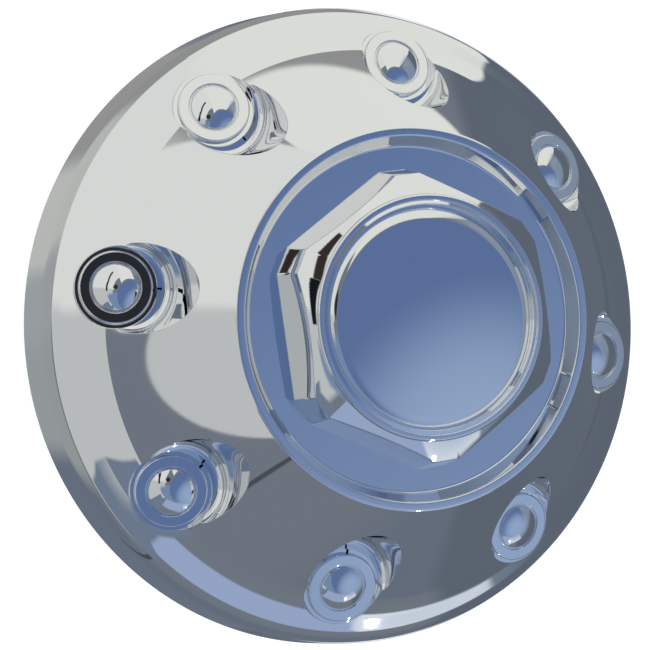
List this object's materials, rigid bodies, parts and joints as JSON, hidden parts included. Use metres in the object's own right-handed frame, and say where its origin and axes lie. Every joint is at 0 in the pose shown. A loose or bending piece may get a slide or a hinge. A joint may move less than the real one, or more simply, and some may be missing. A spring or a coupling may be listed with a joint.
{
  "type": "wheel center cap",
  "caption": "Deep round chrome-plated wheel center cap with leaning lug covers set in oval wells, a raised bead and a chamfered hexagon boss carrying a domed disc.",
  "frame": {"origin": "middle of the flat rim that the cap rests on, on the cap's axis", "axes": "+Z along the cap's axis, from the open back towards the domed disc; +X towards one lug cover"},
  "size_m": [0.205, 0.205, 0.0784],
  "materials": {
    "cap_shell": "bright chrome plating on moulded plastic",
    "retention_ring": "drawn spring wire"
  },
  "bodies": {
    "root": {"cap_shell": "cap_shell", "retention_ring": "retention_ring"}
  },
  "joints": []
}
